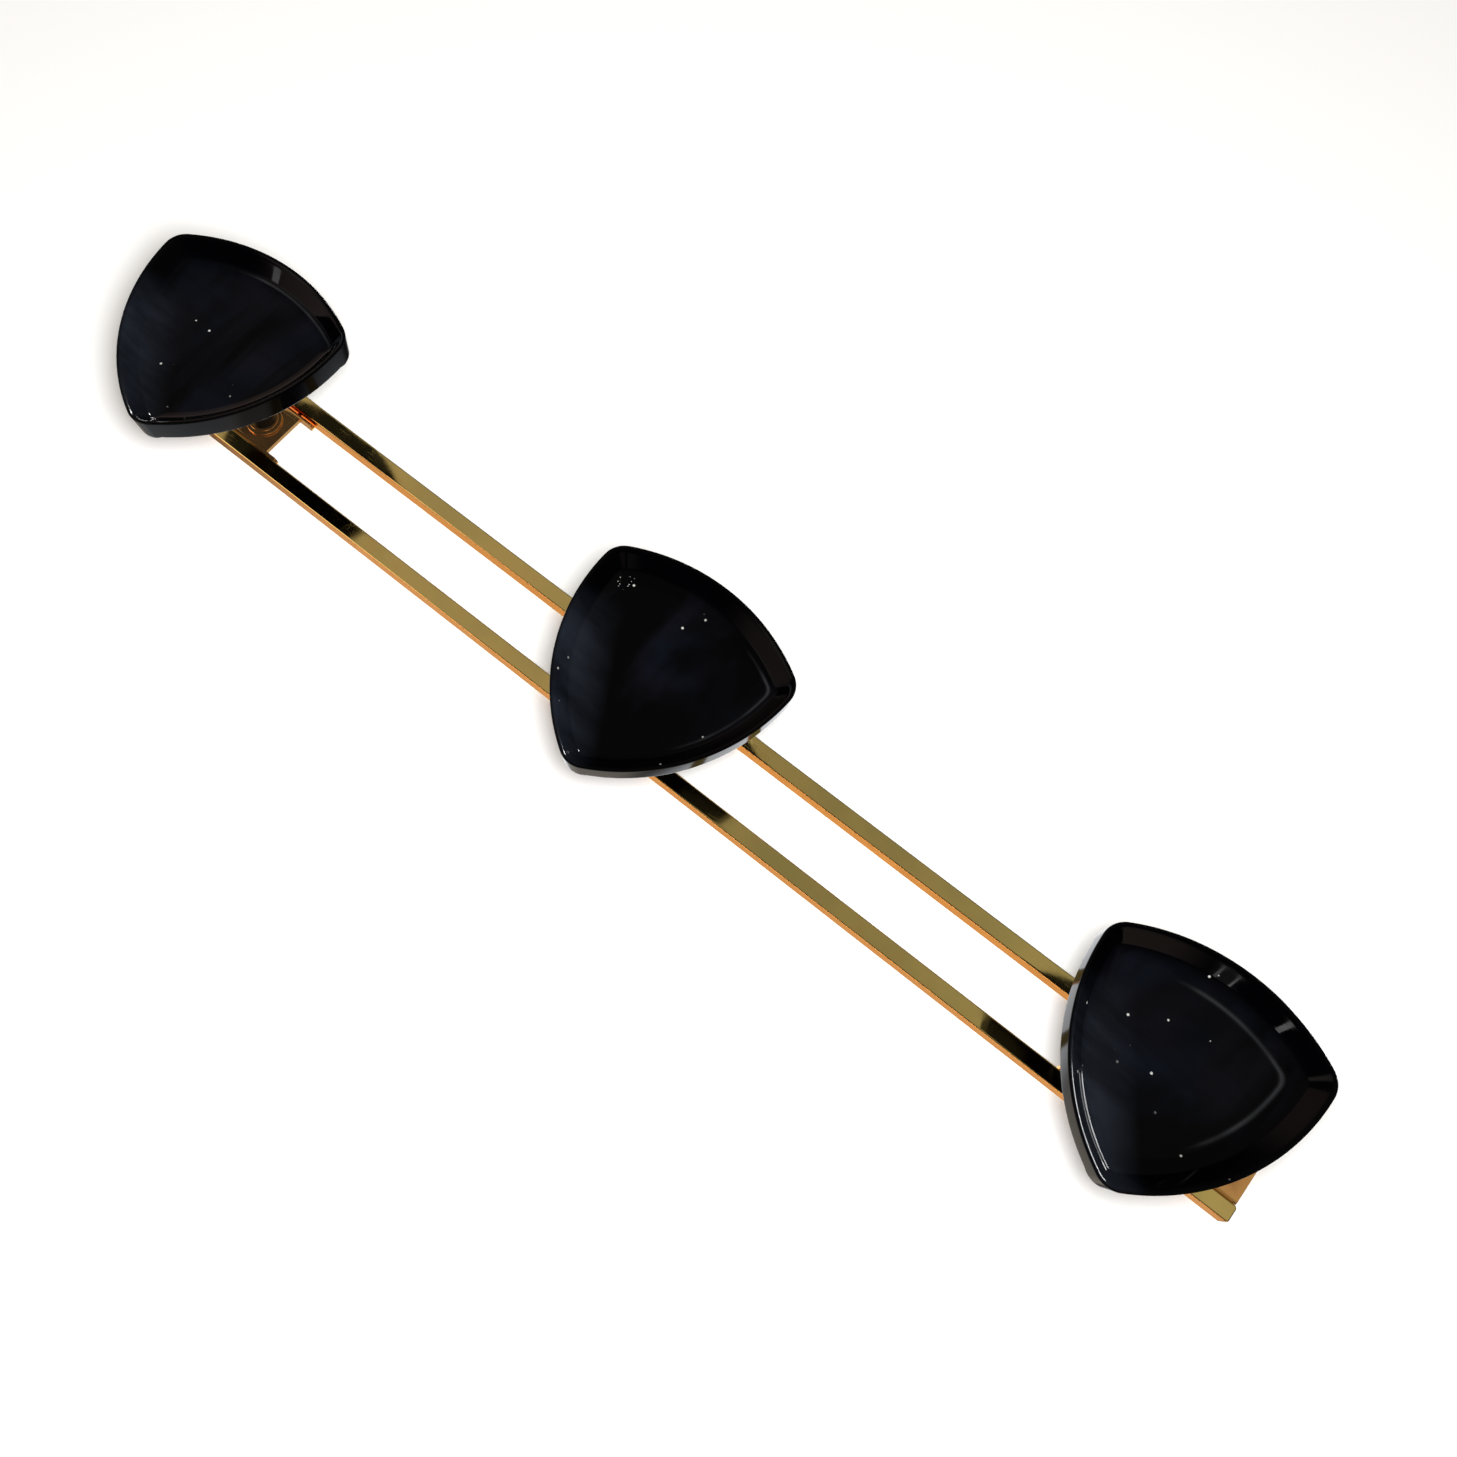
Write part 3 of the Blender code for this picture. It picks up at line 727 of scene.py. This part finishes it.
def knob(side, mesh, skin):
    """Place one knob on its turning axis, turned to where it stands at rest."""
    own = mesh.copy()
    mark_painted_light(own, side)
    turn = Matrix.Rotation(radians(-KNOB_TURN[side]), 4, "Y")
    own.transform(Matrix.Translation((KNOB_X[side], 0.0, AXIS_Z)) @ turn)
    piece = add_mesh(f"knob_shell_{side}", own, skin, sharp=50)
    stand_for(piece, f"knob_{side}", f"knob_body_{side}")


# ---------------------------------------------------------------- posts and fasteners

def span(node):
    """Low and high height above the wall of a CAD node."""
    low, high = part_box(node)
    return -high.y, -low.y


def hardware():
    """Profiles of each knob's turned pieces, with their slots and whether they are rings."""
    low, high = span("stem_middle")
    stem = [(HOLE_RADIUS, low, 0.0), (6.2 * MM, low, 0.2 * MM), (6.2 * MM, low + 6 * MM, 3 * MM),
            (7.0 * MM, low + 16 * MM, 5 * MM), (9.0 * MM, high - 4 * MM, 3 * MM),
            (9.0 * MM, high, 0.4 * MM), (HOLE_RADIUS, high, 0.0)]
    low, high = span("base_washer_middle")
    base = [(HOLE_RADIUS, low, 0.0), (9.0 * MM, low, 0.15 * MM), (9.0 * MM, low + MM, 0.35 * MM),
            (7.2 * MM, low + MM, 0.1 * MM), (7.2 * MM, high, 0.25 * MM), (HOLE_RADIUS, high, 0.0)]
    low, high = span("back_washer_middle")
    back = [(HOLE_RADIUS, low, 0.0), (5.2 * MM, low, 0.15 * MM), (5.2 * MM, high, 0.15 * MM),
            (HOLE_RADIUS, high, 0.0)]
    low, high = span("insert_middle")
    insert = [(HOLE_RADIUS, low, 0.0), (3.9 * MM, low, 0.3 * MM), (3.9 * MM, high, 0.0),
              (HOLE_RADIUS, high, 0.0)]
    low, high = span("bolt_middle")
    under = low + BOLT_HEAD
    bolt = [(0.0, low, 0.0), (4.6 * MM, low, 0.7 * MM), (4.6 * MM, under, 0.1 * MM),
            (BOLT_RADIUS, under, 0.0), (BOLT_RADIUS, high, 0.5 * MM), (0.0, high, 0.0)]
    return {"stem": (stem, "black_lacquer", True), "base_washer": (base, "polished_brass", True),
            "back_washer": (back, "zinc_steel", True), "insert": (insert, "polished_brass", True),
            "bolt": (bolt, "zinc_steel", False)}


def drive_slot(piece):
    """Cut a screwdriver cross into a bolt's head."""
    low, _ = span("bolt_middle")
    cutters = []
    for width, length in ((CROSS_WIDTH, CROSS_LENGTH), (CROSS_LENGTH, CROSS_WIDTH)):
        outline = rectangle(-width / 2, width / 2, -low + MM, -low - CROSS_DEPTH)
        groove = prism("slot", outline, AXIS_Z - length / 2, AXIS_Z + length / 2, "Z")
        cutters.append(cut(piece, groove, (piece.location.x, 0.0, 0.0)))
    apply_modifiers(piece, cutters)


def fasteners(side, skins):
    """Post, washers, insert and bolt of one knob."""
    for kind, (profile, slot, is_ring) in hardware().items():
        node = f"{kind}_{side}"
        piece = add_mesh(f"turned_{node}", turned(node, profile, closed=is_ring), skins[slot],
                         (KNOB_X[side], 0.0, AXIS_Z))
        if kind == "bolt":
            drive_slot(piece)
        body = f"knob_body_{side}" if kind == "insert" else "rack"
        stand_for(piece, node, body)


# ---------------------------------------------------------------- camera, backdrop and light

def camera():
    """The camera, in front of the rack, turned and tilted."""
    data = bpy.data.cameras.new("camera")
    data.lens = CAMERA_LENS
    data.shift_x, data.shift_y = CAMERA_SHIFT
    data.clip_start = 0.01
    made = linked("camera", data)
    made.location = CAMERA_PLACE
    made.rotation_euler = [radians(a) for a in CAMERA_TURN]
    bpy.context.scene.camera = made


def paper(name, see_through_back):
    """White backdrop paper, lit from the camera's side; from behind it may be clear."""
    made = Shader(name)
    fibre = made.ramp(made.noise(made.object_place, 300.0), 0.3, 0.7, 0.985, 1.0)
    tone = made.blend(fibre, (0.86, 0.86, 0.86), (0.90, 0.90, 0.90))
    made.set(Base_Color=tone, Roughness=1.0)
    made.set(Emission_Color=(1.0, 1.0, 1.0, 1.0), Emission_Strength=PAPER_GLOW)
    made.surface.inputs["Specular IOR Level"].default_value = 0.0
    if see_through_back:
        back = made.node("ShaderNodeNewGeometry").outputs["Backfacing"]
        clear = made.node("ShaderNodeBsdfTransparent").outputs["BSDF"]
        ends = [(0, back), (1, made.surface.outputs["BSDF"]), (2, clear)]
        mixed = made.node("ShaderNodeMixShader", ends)
        out = made.tree.nodes["Material Output"].inputs["Surface"]
        made.tree.links.new(mixed.outputs["Shader"], out)
    return made.material


def sheet_of_paper(name, skin, corners):
    """A flat stage sheet that only the camera sees, so that reflections show the studio instead."""
    shape = bmesh.new()
    shape.faces.new([shape.verts.new(corner) for corner in corners])
    mesh = bpy.data.meshes.new(name)
    shape.to_mesh(mesh)
    shape.free()
    mesh.materials.append(skin)
    made = linked(name, mesh)
    made.visible_diffuse = False
    made.visible_glossy = False
    made.visible_transmission = False
    made.visible_shadow = False


def backdrop():
    """Paper behind the rack and on the floor."""
    upright = [(x, PAPER_BEHIND, z)
               for x, z in rectangle(-PAPER_REACH, PAPER_REACH, FLOOR_Z, PAPER_REACH)]
    level = [(x, y, FLOOR_Z)
             for x, y in rectangle(-PAPER_REACH, PAPER_REACH, -PAPER_REACH, PAPER_REACH)]
    sheet_of_paper("backdrop", paper("backdrop_paper", True), upright)
    sheet_of_paper("floor", paper("floor_paper", False), level)


# The studio's soft patches of light: direction, how fast distance from it counts along X, Y and Z,
# colour, strength, and the distances up to which a patch is full and from which it has ended
STUDIO_PATCHES = (
    ((0.0, 0.0, 1.0), (0.0, 0.0, 0.0), (1.0, 1.0, 1.0), 0.03, 1.0, 2.0),
    ((-0.1, -1.0, 0.3), (1.0, 1.0, 1.0), (1.0, 0.94, 0.76), 0.225, 0.6, 1.3),
    ((0.42, -0.85, 0.3), (1.0, 1.0, 1.0), (1.0, 0.90, 0.66), 0.14, 0.12, 0.45),
    ((-0.5, -0.8, 0.28), (1.0, 1.0, 1.0), (1.0, 0.72, 0.62), 0.10, 0.20, 0.50),
    ((0.65, 0.5, 0.55), (1.0, 1.0, 1.0), (0.80, 0.86, 1.0), 0.3, 0.3, 0.7),
    ((0.76, -0.02, -0.65), (1.0, 1.0, 1.0), (1.0, 0.76, 0.62), 1.2, 0.18, 0.5),
    ((-0.69, -0.06, -0.72), (1.0, 1.0, 1.0), (1.0, 0.76, 0.66), 1.0, 0.18, 0.5),
    ((-0.60, -0.52, -0.60), (1.0, 1.0, 1.0), (1.0, 0.92, 0.78), 1.4, 0.12, 0.30),
    ((0.35, -0.24, -0.91), (5.0, 2.5, 0.4), (1.0, 0.92, 0.86), 0.8, 0.05, 0.5),
    ((-0.90, -0.15, 0.40), (1.0, 1.0, 1.0), (1.0, 0.70, 0.58), 0.8, 0.10, 0.45),
    ((-0.20, 0.96, 0.22), (1.0, 0.5, 2.2), (0.98, 1.0, 1.03), 1.6, 0.50, 0.85),
    ((0.13, 0.83, -0.48), (0.45, 1.0, 2.2), (0.97, 1.0, 1.04), 1.2, 0.2, 0.42),
    ((-0.95, 0.25, 0.0), (1.0, 1.0, 1.0), (0.95, 1.0, 1.05), 1.6, 0.25, 0.6),
    ((-0.05, 0.95, -0.262), (0.7, 0.5, 5.0), (1.0, 0.90, 0.76), 0.74, 0.5, 0.85),
    ((-0.15, 0.30, -0.92), (0.35, 2.6, 1.6), (1.0, 0.95, 0.84), 4.5, 0.18, 0.42),
)


def studio_world():
    """Surroundings: a dim room with soft patches of light, but plain and pale for the camera."""
    world = bpy.data.worlds.new("studio")
    bpy.context.scene.world = world
    world.use_nodes = True
    tree = world.node_tree
    tree.nodes.clear()

    def vector(operation, first, second=None):
        """A vector math node, whose second value may be a plain one."""
        made = tree.nodes.new("ShaderNodeVectorMath")
        made.operation = operation
        tree.links.new(first, made.inputs[0])
        if isinstance(second, bpy.types.NodeSocket):
            tree.links.new(second, made.inputs[1])
        elif second is not None:
            made.inputs[1].default_value = second
        return made.outputs["Value" if operation == "LENGTH" else "Vector"]

    direction = tree.nodes.new("ShaderNodeTexCoord").outputs["Generated"]
    total = None
    for way, weights, tone, strength, full, ended in STUDIO_PATCHES:
        off = vector("MULTIPLY", vector("SUBTRACT", direction, Vector(way).normalized()), weights)
        fade = tree.nodes.new("ShaderNodeMapRange")
        fade.interpolation_type = "SMOOTHSTEP"
        fade.inputs["From Min"].default_value = full
        fade.inputs["From Max"].default_value = ended
        fade.inputs["To Min"].default_value = strength
        fade.inputs["To Max"].default_value = 0.0
        tree.links.new(vector("LENGTH", off), fade.inputs["Value"])
        patch = vector("MULTIPLY", fade.outputs["Result"], tone)
        total = patch if total is None else vector("ADD", total, patch)
    studio = tree.nodes.new("ShaderNodeBackground")
    tree.links.new(total, studio.inputs["Color"])
    plain = tree.nodes.new("ShaderNodeBackground")
    plain.inputs["Color"].default_value = (0.93, 0.93, 0.93, 1.0)
    choose = tree.nodes.new("ShaderNodeMixShader")
    tree.links.new(tree.nodes.new("ShaderNodeLightPath").outputs["Is Camera Ray"], choose.inputs[0])
    tree.links.new(studio.outputs[0], choose.inputs[1])
    tree.links.new(plain.outputs[0], choose.inputs[2])
    out = tree.nodes.new("ShaderNodeOutputWorld")
    tree.links.new(choose.outputs[0], out.inputs["Surface"])


def front_light():
    """A soft lamp beside the lens that lights the paper evenly and leaves a close shadow."""
    data = bpy.data.lights.new("front", "POINT")
    data.shadow_soft_size = FRONT_RADIUS
    data.energy = FRONT_POWER
    data.use_nodes = True
    tree = data.node_tree
    falloff = tree.nodes.new("ShaderNodeLightFalloff")
    falloff.inputs["Strength"].default_value = 1.0
    tree.links.new(falloff.outputs["Constant"], tree.nodes["Emission"].inputs["Strength"])
    made = linked("front", data)
    made.location = FRONT_PLACE
    made.visible_glossy = False


# Soft boxes: the piece that mirrors each, its place, its size and its power
SOFT_BOXES = {
    "glint_left": ("knob_shell_left", (-0.73, -0.48, 1.02), (0.20, 0.20), 22.0),
    "glint_middle": ("knob_shell_middle", (0.10, -0.43, 1.14), (0.20, 0.20), 28.0),
    "glint_right": ("knob_shell_right", (0.945, -0.045, 0.94), (0.42, 0.50), 75.0),
    "streak_broad": ("knob_shell_right", (0.606, -0.260, -0.852), (0.050, 0.10), 0.10),
    "streak_narrow": ("knob_shell_right", (0.527, -0.288, -0.880), (0.026, 0.09), 0.085),
    "streak_far": ("knob_shell_right", (0.235, -0.345, -0.904), (0.030, 0.13), 0.16),
    "streak_upper": ("knob_shell_left", (-0.716, -0.313, -0.770), (0.045, 0.12), 0.10),
    "streak_lower": ("knob_shell_left", (-0.972, -0.104, -0.580), (0.045, 0.12), 0.10),
    "fold_left": ("bracket_sheet_left", (-0.706, -0.505, -0.445), (0.30, 0.30), 1.1),
}


def soft_box(name, piece, place, size, power):
    """A soft box that only one piece mirrors, as a glint on an edge or a streak in a dish."""
    data = bpy.data.lights.new(name, "AREA")
    data.shape = "RECTANGLE"
    data.size, data.size_y = size
    data.energy = power
    side = piece.split("_")[-1]
    aim = Vector((KNOB_X[side], 0.0, AXIS_Z)) - Vector(place)
    made = linked(name, data)
    made.location = place
    made.rotation_euler = aim.to_track_quat("-Z", "Y").to_euler()
    made.visible_diffuse = False
    mirrors = bpy.data.collections.new(name)
    mirrors.objects.link(bpy.data.objects[piece])
    made.light_linking.receiver_collection = mirrors


def main():
    """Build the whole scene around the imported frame."""
    bpy.context.scene.view_settings.view_transform = "Standard"
    camera()
    # The under tones are painted reflections on the brasses' downward faces
    rail_brass = polished_brass(
        "rail_brass", tint=(0.93, 0.72, 0.26), dull=(0.82, 0.66, 0.25), warm=(0.90, 0.62, 0.21),
        under=(0.80, 0.33, 0.08), wear=1.0, metal=1.0)
    sheet_brass = polished_brass(
        "sheet_brass", tint=(0.95, 0.55, 0.20), dull=(0.88, 0.47, 0.17), warm=(0.95, 0.42, 0.20),
        under=(0.46, 0.25, 0.13), wear=0.7, metal=0.96)
    skins = {"polished_brass": sheet_brass, "black_gloss": black_gloss(),
             "black_lacquer": black_lacquer(), "zinc_steel": zinc_steel()}
    for level in ("lower", "upper"):
        rail(level, rail_brass)
    shell = knob_mesh()
    for side in SIDES:
        bracket(side, sheet_brass)
        rivets(side, sheet_brass)
        knob(side, shell, skins["black_gloss"])
        fasteners(side, skins)
    backdrop()
    studio_world()
    front_light()
    for name, settings in SOFT_BOXES.items():
        soft_box(name, *settings)


main()
